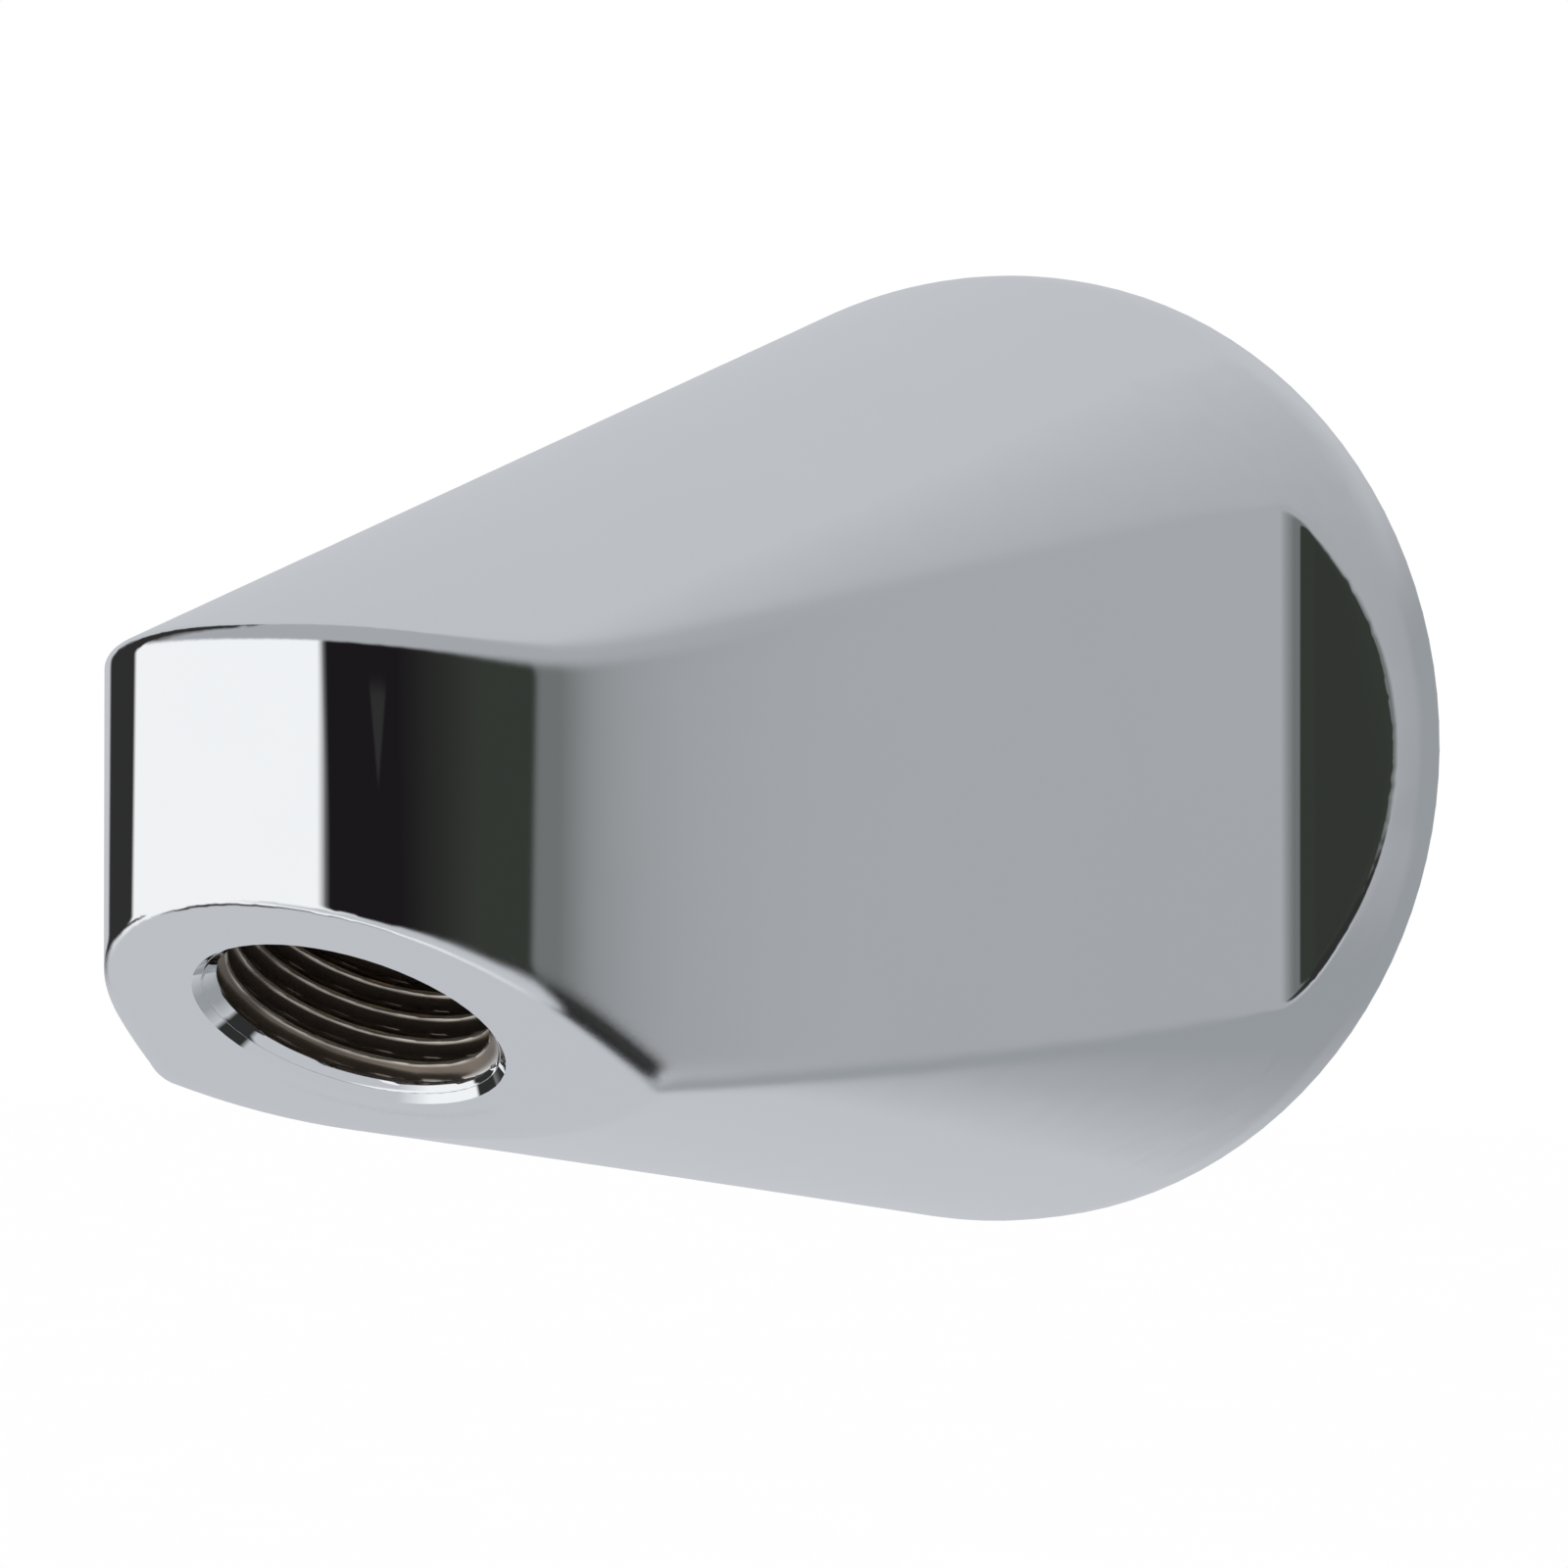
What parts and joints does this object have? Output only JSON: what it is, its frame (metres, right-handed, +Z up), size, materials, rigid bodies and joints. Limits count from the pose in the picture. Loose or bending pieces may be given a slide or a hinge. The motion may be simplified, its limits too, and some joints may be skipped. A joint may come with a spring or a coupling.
{
  "type": "shower head bracket",
  "caption": "Wall bracket for a shower head: round flange drawn out to a blunt rounded nose, with a threaded water inlet in the hollow back and a slanted threaded outlet under the nose.",
  "frame": {"origin": "centre of the wall flange on the wall plane, which is the mouth of the threaded inlet", "axes": "+Y into the wall along the inlet axis, -Y out into the room towards the nose, +Z up, +X to the right of someone facing the wall"},
  "size_m": [0.0774, 0.113, 0.0774],
  "materials": {
    "chrome": "polished plating on cast brass"
  },
  "bodies": {
    "root": {"bracket_body": "chrome"}
  },
  "joints": []
}
